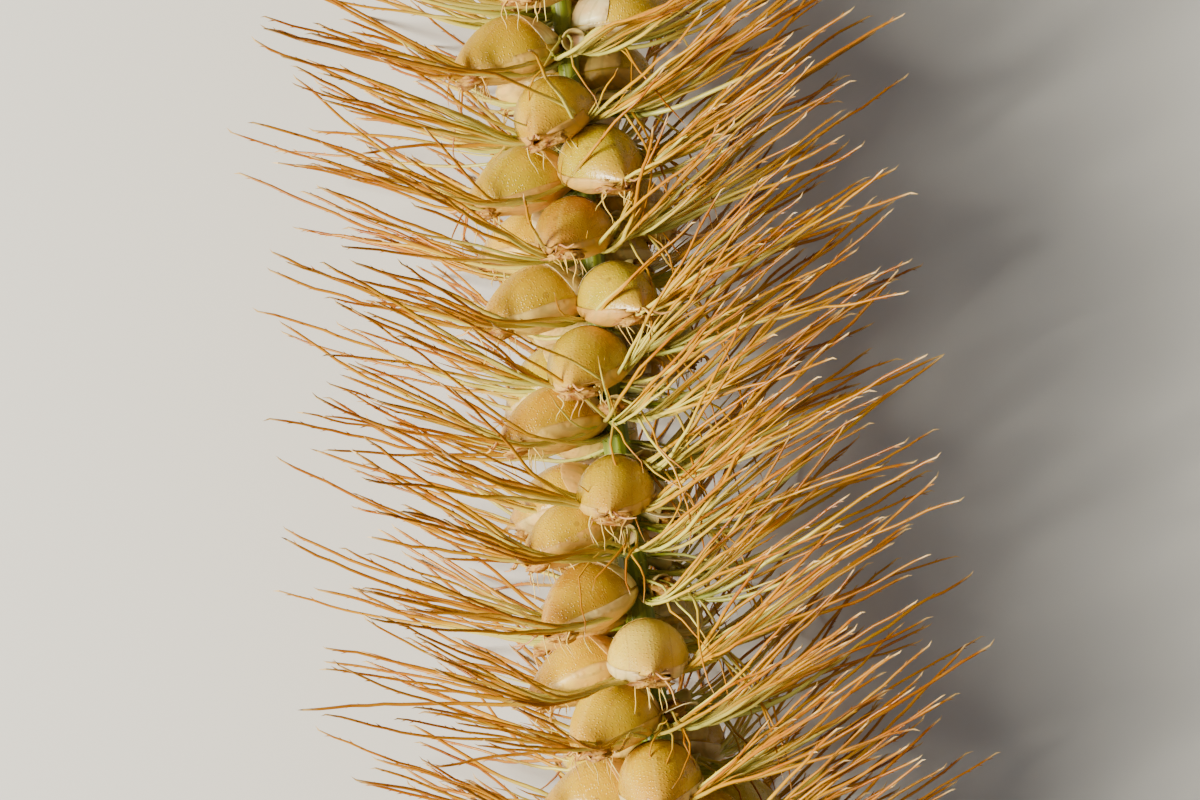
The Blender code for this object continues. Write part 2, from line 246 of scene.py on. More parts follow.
def plan_spikelets():
    """Each spikelet's root, directions and size, and whether it has fallen."""
    draw = np.random.default_rng(SEED)
    plan = []
    for n in range(SPIKELETS):
        slip, turn, tilt, roll, grow = draw.normal(size=5)
        down = n * RISE
        y = HEAD_TOP_Y - down + SHIFTED.get(n, RISE_SCATTER * slip)
        azimuth = FIRST_AZIMUTH + n * DIVERGENCE + TURNED_ASIDE.get(n, TURN_SCATTER * turn)
        from_tip = smooth(down / TIP_TAPER)
        from_base = smooth((HEAD_LENGTH - down) / BASE_TAPER)
        lift = mix(TIP_LIFT, DROOP, from_tip) + TILT_SCATTER * tilt
        tangent, side, up = axis_frame(y)
        radial = outward(azimuth, side, up)
        along = math.cos(lift) * radial + math.sin(lift) * tangent
        back = math.cos(lift) * tangent - math.sin(lift) * radial
        across = np.cross(back, along)
        twist = TWIST_SCATTER * roll
        size = mix(TIP_SIZE, 1.0, from_tip) * mix(BASE_SIZE, 1.0, from_base)
        plan.append(
            {
                "y": y,
                "azimuth": azimuth,
                "from_tip": from_tip,
                "size": size * (1 + SIZE_SCATTER * grow),
                "root": axis_point(y) + HUSK_ROOT * radial,
                "along": along,
                "back": math.cos(twist) * back + math.sin(twist) * across,
                "across": math.cos(twist) * across - math.sin(twist) * back,
                "fallen": n in FALLEN,
            }
        )
    return plan


def fullness(u):
    """A husk's width at u, which is 0 at its root and 1 at its tip, as a share of its greatest width."""
    return np.sin(math.pi * np.clip(u, 0.0, 1.0) ** 0.88) ** 0.8


def parted(azimuth):
    """The azimuth a bristle leans to: on the upper side, away from the parting to the left or right."""
    off = (azimuth - PARTING + math.pi) % (2 * math.pi) - math.pi
    pushed = max(abs(off), mix(PARTED_FROM, PARTING_REACH, abs(off) / PARTING_REACH))
    return azimuth - off + math.copysign(pushed, off)


def push_clear(points, plan):
    """Moves each point that is inside a husk, or too near one, out across the husk's length."""
    gap = BRISTLE_RADIUS + CLEARANCE
    for husk in plan:
        if husk["fallen"]:
            continue
        reach = points - husk["root"]
        u = reach @ husk["along"] / (HUSK_LENGTH * husk["size"])
        full = fullness(u) * husk["size"]
        back, across = reach @ husk["back"], reach @ husk["across"]
        depth = full * np.where(back > 0, DOME_HEIGHT, FRONT_DEPTH) + gap
        inside = np.hypot(back / depth, across / (full * HUSK_HALF_WIDTH + gap))
        hit = (u > 0.06) & (u < 1) & (inside < 1)
        shift = (1 / np.maximum(inside[hit], 0.15) - 1)[:, None]
        points[hit] += shift * (back[hit, None] * husk["back"] + across[hit, None] * husk["across"])
    return points


def step_beside(points, plan):
    """Moves each point that lies over a husk, as seen from above, off to the nearer side of it."""
    for husk in plan:
        length = HUSK_LENGTH * husk["size"]
        flat = husk["along"][:2] * length
        if husk["fallen"] or husk["along"][2] < LOWEST_SEEN or np.linalg.norm(flat) < UPRIGHT * length:
            continue
        aside = np.array((-flat[1], flat[0])) / np.linalg.norm(flat)
        aside *= math.copysign(1, aside @ husk["back"][:2])
        reach = points - husk["root"]
        u = reach[:, :2] @ flat / (flat @ flat)
        off = reach[:, :2] @ aside
        full = fullness(u) * husk["size"]
        to_back, to_front = DOME_HEIGHT * full - off, FRONT_DEPTH * full + off
        over = reach[:, 2] > husk["along"][2] * length * u
        hit = over & (u > 0.1) & (u < 1) & (to_back > 0) & (to_front > 0)
        move = np.where(to_back < to_front, to_back, -to_front)
        points[hit, :2] += SIDESTEP * move[hit, None] * aside
    return points


def plan_bristles(plan):
    """The centre lines of all bristles, fan by fan, each marched out from its root in equal steps."""
    draw = np.random.default_rng(SEED + 1)
    roots, turns, lifts, lengths, frames, waves = [], [], [], [], [], []
    for husk in plan:
        tangent, side, up = axis_frame(husk["y"])
        from_tip = husk["from_tip"]
        for k in range(BRISTLES):
            sway, aside, rise = draw.normal(size=3)
            spread = FAN * (2 * k / (BRISTLES - 1) - 1)
            azimuth = husk["azimuth"] + spread + ROOT_SCATTER * sway
            aim = husk["azimuth"] + FAN_KEPT * spread + AIM_SCATTER * aside
            if draw.random() > UNPARTED_SHARE:
                aim = parted(aim)
            start = mix(TIP_START_LIFT, START_LIFT, from_tip)
            end = mix(TIP_BRISTLE_LIFT, BRISTLE_LIFT, from_tip) + LIFT_SCATTER * rise
            shortest, longest = SHORT_BRISTLES if k % EVERY_LONG else LONG_BRISTLES
            root = axis_point(husk["y"]) - BRISTLE_ROOT_DROP * from_tip * tangent
            roots.append(root + 0.5 * rachis_radius(husk["y"]) * outward(azimuth, side, up))
            turns.append((azimuth, aim))
            lifts.append((start, end))
            lengths.append(draw.uniform(shortest, longest) * mix(TIP_SHORTENING, 1.0, from_tip))
            frames.append((tangent, side, up))
            waves.append(draw.uniform(-1, 1, size=6))
    points, frames, waves = np.array(roots), np.array(frames), np.array(waves)
    (azimuth, aim), (start, end) = np.array(turns).T, np.array(lifts).T
    step = np.array(lengths)[:, None] / BRISTLE_STEPS
    line = [points]
    for i in range(BRISTLE_STEPS):
        t = (i + 0.5) / BRISTLE_STEPS
        wavy = smooth(t / WAVING_BY)
        sway = wavy * waves[:, 0] * np.sin(WAVES * t * (1 + 0.5 * waves[:, 1]) + math.pi * waves[:, 2])
        nod = wavy * waves[:, 3] * np.sin(WAVES * t * (1 + 0.5 * waves[:, 4]) + math.pi * waves[:, 5])
        turn = (mix(azimuth, aim, smooth(t / TURNED_BY)) + SWAY * sway)[:, None]
        lift = (mix(start, end, smooth(t / LIFTED_BY)) + NOD * nod)[:, None]
        outwards = np.cos(turn) * frames[:, 2] + np.sin(turn) * frames[:, 1]
        ahead = points + step * (np.cos(lift) * outwards + np.sin(lift) * frames[:, 0])
        if i > 0:
            ahead = push_clear(step_beside(ahead, plan), plan)
        lying = BRISTLE_RADIUS * (1 - t)
        ahead[:, 2] = np.maximum(ahead[:, 2], lying)
        points = points + unit(ahead - points) * step
        points[:, 2] = np.maximum(points[:, 2], lying)
        line.append(points)
    lines = np.array(line).transpose(1, 0, 2)
    for _ in range(2):
        lines[:, 1:-1] = 0.25 * lines[:, :-2] + 0.5 * lines[:, 1:-1] + 0.25 * lines[:, 2:]
    return lines.reshape(len(plan), BRISTLES, BRISTLE_STEPS + 1, 3)


# Node trees: a node's inputs are given by name or index, as values or as other nodes' sockets


def add_node(tree, kind, inputs=None, **settings):
    made = tree.nodes.new(kind)
    for name, value in settings.items():
        setattr(made, name, value)
    for key, value in (inputs or {}).items():
        if isinstance(value, bpy.types.NodeSocket):
            tree.links.new(value, made.inputs[key])
        else:
            made.inputs[key].default_value = value
    return made


def result(tree, kind, inputs=None, **settings):
    """The first output of a new node."""
    return add_node(tree, kind, inputs, **settings).outputs[0]


def maths(tree, operation, *values):
    return result(tree, "ShaderNodeMath", dict(enumerate(values)), operation=operation)


def times(tree, first, second):
    return maths(tree, "MULTIPLY", first, second)


def vectors(tree, operation, first, second):
    """A vector sum by its operation. The second value is a number for SCALE, or else a vector."""
    inputs = {0: first, "Scale" if operation == "SCALE" else 1: second}
    return result(tree, "ShaderNodeVectorMath", inputs, operation=operation)


def axes_of(tree, vector):
    return add_node(tree, "ShaderNodeSeparateXYZ", {0: vector}).outputs


def ranged(tree, value, low, high, to_low=0.0, to_high=1.0):
    """The value turned from one range to another, smoothly and within both."""
    inputs = {0: value, 1: low, 2: high, 3: to_low, 4: to_high}
    return result(tree, "ShaderNodeMapRange", inputs, interpolation_type="SMOOTHSTEP")


def new_tree(kind, name, given, made):
    """A node group with its named inputs and outputs, and the sockets of both inside it."""
    tree = bpy.data.node_groups.new(name, kind)
    for in_out, sockets in (("INPUT", given), ("OUTPUT", made)):
        for label, socket in sockets.items():
            tree.interface.new_socket(label, in_out=in_out, socket_type="NodeSocket" + socket)
    return tree, tree.nodes.new("NodeGroupInput").outputs, tree.nodes.new("NodeGroupOutput").inputs


# Geometry trees


def geometry_tree(name, **sizes):
    """A tree that grows a piece from a seed mesh, by its sizes, a seed number and a material."""
    given = {"Geometry": "Geometry", **sizes, "Seed": "Int", "Material": "Material"}
    tree, given, output = new_tree("GeometryNodeTree", name, given, {"Geometry": "Geometry"})
    return tree, given, output[0]


def named(tree, name, kind="FLOAT"):
    return result(tree, "GeometryNodeInputNamedAttribute", {"Name": name}, data_type=kind)


def store(tree, geometry, name, value):
    inputs = {"Geometry": geometry, "Name": name, "Value": value}
    return result(tree, "GeometryNodeStoreNamedAttribute", inputs, data_type="FLOAT")


def moved(tree, geometry, offset):
    return result(tree, "GeometryNodeSetPosition", {"Geometry": geometry, "Offset": offset})


def kept_above_floor(tree, geometry):
    axes = axes_of(tree, result(tree, "GeometryNodeInputPosition"))
    height = maths(tree, "MAXIMUM", axes[2], 0.0)
    lifted = result(tree, "ShaderNodeCombineXYZ", {0: axes[0], 1: axes[1], 2: height})
    return result(tree, "GeometryNodeSetPosition", {"Geometry": geometry, "Position": lifted})


def wander(tree, scale, seed, reach):
    """An offset that changes smoothly from place to place, up to half the reach each way."""
    position = result(tree, "GeometryNodeInputPosition")
    inputs = {"Vector": position, "Scale": scale, "Detail": 1.0, "W": seed}
    noise = add_node(tree, "ShaderNodeTexNoise", inputs, noise_dimensions="4D")
    centred = vectors(tree, "SUBTRACT", noise.outputs["Color"], (0.5, 0.5, 0.5))
    return vectors(tree, "SCALE", centred, reach)


def random_between(tree, low, high, seed):
    return add_node(tree, "FunctionNodeRandomValue", {2: low, 3: high, 8: seed}).outputs[1]


def leaned(tree, rotation, seed, lean):
    """The rotation turned about its own length by a random angle, then leaned over."""
    turn = random_between(tree, 0.0, 2 * math.pi, seed)
    for axis, angle in (((0, 0, 1), turn), ((1, 0, 0), lean)):
        by = result(tree, "FunctionNodeAxisAngleToRotation", {"Axis": axis, "Angle": angle})
        inputs = {"Rotation": rotation, "Rotate By": by}
        rotation = result(tree, "FunctionNodeRotateRotation", inputs, rotation_space="LOCAL")
    return rotation


def spike(tree, length, radius):
    """A three-sided spike on its base."""
    inputs = {"Vertices": 3, "Radius Bottom": radius, "Radius Top": 0.0, "Depth": length}
    return add_node(tree, "GeometryNodeMeshCone", inputs).outputs["Mesh"]


def copies(tree, points, template, rotation, scale):
    inputs = {"Points": points, "Instance": template, "Rotation": rotation, "Scale": scale}
    return result(tree, "GeometryNodeInstanceOnPoints", inputs)


def joined(tree, *geometries):
    made = add_node(tree, "GeometryNodeJoinGeometry")
    for geometry in geometries:
        tree.links.new(geometry, made.inputs[0])
    return made.outputs[0]


def realized(tree, geometry):
    return result(tree, "GeometryNodeRealizeInstances", {"Geometry": geometry})


def finish_tree(tree, geometry, material, output):
    whole = kept_above_floor(tree, realized(tree, geometry))
    shaded = result(tree, "GeometryNodeSetMaterial", {"Geometry": whole, "Material": material})
    tree.links.new(shaded, output)


def taper(tree, factor, points):
    """A curve of values through the points, which shapes a strand's girth along it."""
    made = add_node(tree, "ShaderNodeFloatCurve", {"Value": factor})
    curve = made.mapping.curves[0]
    curve.points[0].location, curve.points[1].location = points[0], points[-1]
    for x, y in points[1:-1]:
        curve.points.new(x, y)
    made.mapping.update()
    return made.outputs[0]


def tube(tree, curve, sides, scale):
    ring = result(tree, "GeometryNodeCurvePrimitiveCircle", {"Resolution": sides})
    inputs = {"Curve": curve, "Profile Curve": ring, "Scale": scale, "Fill Caps": True}
    made = result(tree, "GeometryNodeCurveToMesh", inputs)
    return result(tree, "GeometryNodeSetShadeSmooth", {"Geometry": made})


def strands_tree(name, girths, barbed):
    """Tubes along the lines of the seed mesh: kinked, tapered, closed at both ends, with barbs if asked."""
    sizes = {"Radius": "Float", "Sides": "Int", "Points": "Int", "Kink": "Float", "KinkScale": "Float"}
    if barbed:
        sizes |= {"Barbs": "Int", "BarbLength": "Float", "BarbRadius": "Float", "BarbLean": "Float"}
    tree, given, output = geometry_tree(name, **sizes)
    curve = result(tree, "GeometryNodeMeshToCurve", {"Mesh": given["Geometry"]})
    curve = result(tree, "GeometryNodeResampleCurve", {"Curve": curve, "Count": given["Points"]})
    along = add_node(tree, "GeometryNodeSplineParameter").outputs["Factor"]
    reach = times(tree, given["Kink"], maths(tree, "MINIMUM", along, 0.5))
    seed = maths(tree, "ADD", given["Seed"], times(tree, named(tree, "girth"), 40.0))
    curve = moved(tree, curve, wander(tree, given["KinkScale"], seed, reach))
    curve = store(tree, curve, "along", along)
    fine = times(tree, taper(tree, along, girths), named(tree, "girth"))
    curve = store(tree, curve, "fine", fine)
    radius = times(tree, named(tree, "fine"), given["Radius"])
    whole = tube(tree, curve, given["Sides"], radius)
    if barbed:
        points = add_node(tree, "GeometryNodeCurveToPoints", {"Curve": curve, "Count": given["Barbs"]})
        rotation = leaned(tree, points.outputs["Rotation"], given["Seed"], given["BarbLean"])
        barb = spike(tree, given["BarbLength"], given["BarbRadius"])
        barbs = copies(tree, points.outputs["Points"], barb, rotation, random_between(tree, 0.6, 1.1, 5))
        whole = joined(tree, whole, barbs)
    finish_tree(tree, whole, given["Material"], output)
    return tree


def add_rod_tree():
    """A ribbed rod along the seed's line, as wide as its "width" says, with short hairs on it."""
    sizes = {"Sides": "Int", "Ribs": "Int", "RibHeight": "Float"}
    sizes |= {"Hairs": "Float", "HairLength": "Float", "HairRadius": "Float"}
    tree, given, output = geometry_tree("ribbed_rod", **sizes)
    curve = result(tree, "GeometryNodeMeshToCurve", {"Mesh": given["Geometry"]})
    ring = result(tree, "GeometryNodeCurvePrimitiveCircle", {"Resolution": given["Sides"]})
    around = add_node(tree, "GeometryNodeSplineParameter").outputs["Factor"]
    turns = times(tree, times(tree, around, given["Ribs"]), 2 * math.pi)
    rib = times(tree, maths(tree, "COSINE", turns), given["RibHeight"])
    position = result(tree, "GeometryNodeInputPosition")
    section = moved(tree, ring, vectors(tree, "SCALE", position, rib))
    inputs = {"Curve": curve, "Profile Curve": section, "Scale": named(tree, "width"), "Fill Caps": True}
    rod = result(tree, "GeometryNodeCurveToMesh", inputs)
    smoothed = result(tree, "GeometryNodeSetShadeSmooth", {"Geometry": rod})
    facing = axes_of(tree, result(tree, "GeometryNodeInputNormal"))[1]
    on_side = maths(tree, "LESS_THAN", maths(tree, "ABSOLUTE", facing), 0.9)
    inputs = {"Mesh": rod, "Selection": on_side, "Density": given["Hairs"], "Seed": given["Seed"]}
    spots = add_node(tree, "GeometryNodeDistributePointsOnFaces", inputs)
    hair = spike(tree, given["HairLength"], given["HairRadius"])
    rotation = leaned(tree, spots.outputs["Rotation"], given["Seed"], 0.6)
    hairs = copies(tree, spots.outputs["Points"], hair, rotation, random_between(tree, 0.5, 1.3, 7))
    finish_tree(tree, joined(tree, smoothed, hairs), given["Material"], output)


def spread_tree():
    """A copy of the template on each point, turned by the point's directions, sized and ruffled."""
    sizes = {"Template": "Object", "Ruffle": "Float", "RuffleScale": "Float"}
    tree, given, output = geometry_tree("spread", **sizes)
    info = add_node(tree, "GeometryNodeObjectInfo", {"Object": given["Template"]})
    axes = {0: named(tree, "along_axis", "FLOAT_VECTOR"), 1: named(tree, "back_axis", "FLOAT_VECTOR")}
    turned = result(tree, "FunctionNodeAxesToRotation", axes, primary_axis="Z", secondary_axis="Y")
    whole = copies(tree, given["Geometry"], info.outputs["Geometry"], turned, named(tree, "size"))
    ruffle = wander(tree, given["RuffleScale"], given["Seed"], given["Ruffle"])
    finish_tree(tree, moved(tree, realized(tree, whole), ruffle), given["Material"], output)
    return tree


def add_object(name, data):
    made = bpy.data.objects.new(name, data)
    bpy.context.scene.collection.objects.link(made)
    return made


def grow(name, seed_mesh, tree, **values):
    """A plain mesh object made by the geometry tree from the seed mesh, with the inputs given by name."""
    source = add_object(name + "_source", seed_mesh)
    modifier = source.modifiers.new("grown", "NODES")
    modifier.node_group = tree
    for item in tree.interface.items_tree:
        if item.in_out == "INPUT" and item.name in values:
            modifier[item.identifier] = values[item.name]
    bpy.context.view_layer.update()
    evaluated = source.evaluated_get(bpy.context.evaluated_depsgraph_get())
    mesh = bpy.data.meshes.new_from_object(evaluated)
    source.modifiers.clear()
    bpy.data.objects.remove(source)
    mesh.name = name
    return add_object(name, mesh)


# Materials


def add_mottle_group():
    """Two colours mixed in soft patches of one noise, broken up by its finer detail."""
    given = {"Vector": "Vector", "Scale": "Float", "Shift": "Float", "First": "Color", "Second": "Color"}
    made = {"Colour": "Color", "Mask": "Float"}
    tree, given, output = new_tree("ShaderNodeTree", "mottle", given, made)
    inputs = {"Vector": given["Vector"], "Scale": given["Scale"], "Detail": 4.0, "W": given["Shift"]}
    noise = add_node(tree, "ShaderNodeTexNoise", inputs, noise_dimensions="4D")
    mask = ranged(tree, noise.outputs["Fac"], 0.36, 0.64)
    inputs = {"Factor": mask, 6: given["First"], 7: given["Second"]}
    both = add_node(tree, "ShaderNodeMix", inputs, data_type="RGBA")
    tree.links.new(both.outputs[2], output["Colour"])
    tree.links.new(mask, output["Mask"])


def add_wrinkle_group():
    """Fine cross wrinkles broken into rows of dots: their height, and a mask of the dots' crests."""
    given = {"Vector": "Vector", "Scale": "Float", "Shift": "Float"}
    made = {"Height": "Float", "Crest": "Float"}
    tree, given, output = new_tree("ShaderNodeTree", "wrinkles", given, made)
    moved_to = vectors(tree, "ADD", given["Vector"], given["Shift"])
    inputs = {"Vector": moved_to, "Scale": given["Scale"], "Randomness": 0.55}
    dots = add_node(tree, "ShaderNodeTexVoronoi", inputs, feature="F1").outputs["Distance"]
    inputs = {"Vector": moved_to, "Scale": given["Scale"], "Detail": 3.0}
    noise = add_node(tree, "ShaderNodeTexNoise", inputs)
    crest = ranged(tree, dots, 0.42, 0.10)
    height = maths(tree, "ADD", crest, noise.outputs["Fac"])
    tree.links.new(height, output["Height"])
    tree.links.new(crest, output["Crest"])


def new_material(name):
    made = bpy.data.materials.new(name)
    made.use_nodes = True
    return made, made.node_tree, made.node_tree.nodes["Principled BSDF"].inputs


def place_group(tree, name, vector, scale, shift, **colours):
    inputs = {"Vector": vector, "Scale": scale, "Shift": shift, **colours}
    return add_node(tree, "ShaderNodeGroup", inputs, node_tree=bpy.data.node_groups[name]).outputs


def soft_patches(tree, vector, scale, shift):
    """A mask of soft patches, by the same group that mixes two colours in them."""
    return place_group(tree, "mottle", vector, scale, shift)["Mask"]


def attribute(tree, name, output="Fac"):
    return add_node(tree, "ShaderNodeAttribute", attribute_name=name).outputs[output]


def local_and_tint(tree):
    return attribute(tree, "local", "Vector"), attribute(tree, "tint")


def ramp(tree, factor, *stops):
    """Colours along the factor, from stops of a position and a colour."""
    made = add_node(tree, "ShaderNodeValToRGB", {"Fac": factor})
    elements = made.color_ramp.elements
    elements[0].position, elements[1].position = stops[0][0], stops[-1][0]
    for position, _ in stops[1:-1]:
        elements.new(position)
    for element, (_, colour) in zip(elements, stops):
        element.color = (*colour, 1)
    return made.outputs[0]


def mixed(tree, factor, first, second):
    """The first colour mixed by the factor with the second, a constant one."""
    inputs = {"Factor": factor, 6: first, 7: (*second, 1)}
    return add_node(tree, "ShaderNodeMix", inputs, data_type="RGBA").outputs[2]


def bump(tree, shader, height, strength, distance):
    inputs = {"Height": height, "Strength": strength, "Distance": distance}
    tree.links.new(result(tree, "ShaderNodeBump", inputs), shader["Normal"])


def dress(tree, shader, colour, mask, low, high):
    """Gives the shader its colour, and by the mask a roughness from low to high."""
    tree.links.new(colour, shader["Base Color"])
    tree.links.new(ranged(tree, mask, 0.0, 1.0, low, high), shader["Roughness"])


def bristle_material():
    """Cream-green at the root, golden in the middle, orange-brown outside, with a pale extreme tip."""
    made, tree, shader = new_material("bristle_gold")
    along, tint = attribute(tree, "along"), attribute(tree, "tint")
    shift = times(tree, maths(tree, "SUBTRACT", tint, 0.5), 0.34)
    shifted = maths(tree, "ADD", along, shift)
    colour = ramp(
        tree,
        shifted,
        (0.00, (0.30, 0.40, 0.03)),
        (0.12, (0.56, 0.60, 0.14)),
        (0.36, (0.68, 0.60, 0.11)),
        (0.54, (0.55, 0.26, 0.0)),
        (0.76, (0.42, 0.13, 0.0)),
        (1.00, (0.30, 0.08, 0.0)),
    )
    coordinate = add_node(tree, "ShaderNodeTexCoord").outputs["Object"]
    streaks = soft_patches(tree, coordinate, 900.0, tint)
    paler = times(tree, streaks, 0.28)
    colour = mixed(tree, paler, colour, (0.68, 0.38, 0.0))
    tip = ranged(tree, along, 0.95, 1.0, 0.0, 0.6)
    colour = mixed(tree, tip, colour, (0.86, 0.64, 0.28))
    dress(tree, shader, colour, streaks, 0.26, 0.42)
    shader["Specular IOR Level"].default_value = 0.36
    return made


def husk_material():
    """A hard satin shell, yellow-green to tan, finely dotted, with brown specks, a browner beak and painted
    highlights on its dots and keel.
    """
    made, tree, shader = new_material("husk_shell")
    local, tint = local_and_tint(tree)
    x, y, z = axes_of(tree, local)
    base = ramp(
        tree,
        tint,
        (0.00, (0.50, 0.40, 0.0)),
        (0.30, (0.60, 0.39, 0.0)),
        (0.60, (0.60, 0.32, 0.0)),
        (0.85, (0.46, 0.20, 0.004)),
        (1.00, (0.92, 0.68, 0.10)),
    )
    patches = soft_patches(tree, local, 1.1, times(tree, tint, 9.0))
    colour = mixed(tree, times(tree, patches, 0.5), base, (0.74, 0.49, 0.0))
    darker = ranged(tree, z, 2.2, 3.35, 0.0, 0.62)
    colour = mixed(tree, darker, colour, (0.50, 0.22, 0.03))
    underside = ranged(tree, y, 0.16, -0.10, 0.0, 0.75)
    colour = mixed(tree, underside, colour, (0.66, 0.40, 0.06))
    aside = maths(tree, "ABSOLUTE", x)
    # Painted highlight: a thin pale line along the keel ridge, not a colour of the shell
    keel = ranged(tree, aside, 0.10, 0.0, 0.0, 0.12)
    colour = mixed(tree, keel, colour, (0.95, 0.76, 0.20))
    from_seam = maths(tree, "ABSOLUTE", maths(tree, "SUBTRACT", aside, 0.56))
    seam = ranged(tree, from_seam, 0.030, 0.0, 0.0, 0.28)
    colour = mixed(tree, seam, colour, (0.38, 0.17, 0.04))
    stretched = vectors(tree, "MULTIPLY", local, (1.0, 1.0, 1.5))
    wrinkles = place_group(tree, "wrinkles", stretched, 10.5, tint)
    # Painted highlights: pale glints on the wrinkle crests over the dome's back, fading out towards the beak
    glint_area = times(tree, ranged(tree, y, 0.10, 0.45, 0.0, 0.4), ranged(tree, z, 2.9, 2.1))
    crest_glints = times(tree, wrinkles["Crest"], glint_area)
    colour = mixed(tree, crest_glints, colour, (0.90, 0.70, 0.16))
    spots = place_group(tree, "wrinkles", local, 1.5, tint)["Crest"]
    colour = mixed(tree, ranged(tree, spots, 0.95, 1.0, 0.0, 0.4), colour, (0.22, 0.10, 0.02))
    dress(tree, shader, colour, patches, 0.24, 0.36)
    shader["Subsurface Weight"].default_value = 0.22
    shader["Subsurface Radius"].default_value = (1.0, 0.6, 0.12)
    shader["Subsurface Scale"].default_value = 0.35 * MM
    shader["Coat Weight"].default_value = 0.14
    shader["Coat Roughness"].default_value = 0.24
    bump(tree, shader, wrinkles["Height"], 0.62, 0.018 * MM)
    return made


def papery_material():
    """Dry skins, cream to pinkish brown, with darker veins along them and torn brown edges."""
    made, tree, shader = new_material("papery_skin")
    local, tint = local_and_tint(tree)
    base = ramp(
        tree,
        tint,
        (0.00, (0.95, 0.86, 0.50)),
        (0.35, (0.84, 0.58, 0.10)),
        (0.70, (0.58, 0.27, 0.02)),
        (1.00, (0.36, 0.13, 0.02)),
    )
    patches = soft_patches(tree, local, 1.5, times(tree, tint, 7.0))
    colour = mixed(tree, times(tree, patches, 0.7), base, (0.64, 0.34, 0.08))
    x, _, z = axes_of(tree, local)
    bands = maths(tree, "SINE", times(tree, x, 26.0))
    veins = ranged(tree, bands, 0.55, 1.0, 0.0, 0.35)
    colour = mixed(tree, veins, colour, (0.42, 0.30, 0.08))
    rim = ranged(tree, z, 2.5, 3.1, 0.0, 0.4)
    colour = mixed(tree, rim, colour, (0.50, 0.20, 0.06))
    dress(tree, shader, colour, patches, 0.42, 0.62)
    wrinkles = place_group(tree, "wrinkles", local, 4.5, tint)
    bump(tree, shader, wrinkles["Height"], 0.5, 0.02 * MM)
    return made


def thread_material():
    """Withered threads, pale yellow to red-brown."""
    made, tree, shader = new_material("withered_thread")
    along, tint = attribute(tree, "along"), attribute(tree, "tint")
    colour = ramp(
        tree,
        tint,
        (0.0, (0.90, 0.76, 0.20)),
        (0.5, (0.82, 0.54, 0.06)),
        (0.8, (0.68, 0.30, 0.12)),
        (1.0, (0.46, 0.16, 0.07)),
    )
    colour = mixed(tree, times(tree, along, 0.4), colour, (0.84, 0.56, 0.16))
    tree.links.new(colour, shader["Base Color"])
    shader["Roughness"].default_value = 0.5
    return made


def scrap_material():
    """Shrivelled remnants of flowers, dark red-brown with tan flecks."""
    made, tree, shader = new_material("shrivelled_brown")
    local, tint = local_and_tint(tree)
    dark, tan = (0.26, 0.085, 0.01, 1), (0.54, 0.29, 0.04, 1)
    patches = place_group(tree, "mottle", local, 5.0, tint, First=dark, Second=tan)
    dress(tree, shader, patches["Colour"], patches["Mask"], 0.5, 0.7)
    wrinkles = place_group(tree, "wrinkles", local, 9.0, tint)
    bump(tree, shader, wrinkles["Height"], 0.7, 0.03 * MM)
    return made


def cup_material():
    """Stalks that turn from green to a straw-coloured cup with a brown floor."""
    made, tree, shader = new_material("cup_straw")
    local, tint = local_and_tint(tree)
    x, y, z = axes_of(tree, local)
    colour = ramp(
        tree,
        maths(tree, "DIVIDE", z, PEDICEL_LENGTH / MM),
        (0.0, (0.26, 0.34, 0.06)),
        (0.7, (0.56, 0.50, 0.16)),
        (1.0, (0.62, 0.46, 0.14)),
    )
    squares = [maths(tree, "POWER", axis, 2.0) for axis in (x, y)]
    radius = maths(tree, "SQRT", maths(tree, "ADD", *squares))
    inner = times(tree, ranged(tree, radius, 0.24, 0.14), ranged(tree, z, 0.70, 0.80))
    colour = mixed(tree, inner, colour, (0.30, 0.13, 0.05))
    patches = soft_patches(tree, local, 6.0, tint)
    colour = mixed(tree, times(tree, patches, 0.3), colour, (0.50, 0.30, 0.12))
    dress(tree, shader, colour, patches, 0.42, 0.6)
    return made


def green_material():
    """A satin green stem with paler lengthwise streaks and a straw-coloured, pithy cut end."""
    made, tree, shader = new_material("stem_green_looks")
    coordinate = add_node(tree, "ShaderNodeTexCoord").outputs["Object"]
    y = axes_of(tree, coordinate)[1]
    streaked = vectors(tree, "MULTIPLY", coordinate, (9000.0, 260.0, 9000.0))
    deep, pale = (0.14, 0.23, 0.004, 1), (0.31, 0.39, 0.02, 1)
    streaks = place_group(tree, "mottle", streaked, 1.0, 0.0, First=deep, Second=pale)
    brown = times(tree, soft_patches(tree, coordinate, 420.0, 3.0), 0.22)
    colour = mixed(tree, brown, streaks["Colour"], (0.40, 0.24, 0.07))
    cut = ranged(tree, y, CUT_END_Y + 0.06 * MM, CUT_END_Y + 0.02 * MM)
    colour = mixed(tree, cut, colour, (0.66, 0.58, 0.22))
    dress(tree, shader, colour, streaks["Mask"], 0.36, 0.5)
    wrinkles = place_group(tree, "wrinkles", streaked, 0.8, 0.0)
    bump(tree, shader, wrinkles["Height"], 0.35, 0.02 * MM)
    return made


# Templates: one of each shape, at the origin, its root at 0, its tip on +Z and its back on +Y


def keep(mesh, name, values):
    """Keeps one value for each point of the mesh as an attribute: a number or a vector."""
    values = np.asarray(values, np.float32)
    kind, key = ("FLOAT_VECTOR", "vector") if values.ndim > 1 else ("FLOAT", "value")
    mesh.attributes.new(name, kind, "POINT").data.foreach_set(key, values.ravel())


def template(shape):
    """An object of the shape, whose "local" attribute keeps each point's place in millimetres."""
    mesh = bpy.data.meshes.new("template")
    shape.to_mesh(mesh)
    shape.free()
    keep(mesh, "local", [vertex.co / MM for vertex in mesh.vertices])
    mesh.shade_smooth()
    return add_object("template", mesh)


def section(angle):
    """The husk's section at the angle from +X, as shares of its half width and of its depth."""
    x, y = math.cos(angle), math.sin(angle)
    power = DOME_POWER if y > 0 else FRONT_POWER
    return [math.copysign(abs(share) ** (2 / power), share) for share in (x, y)]


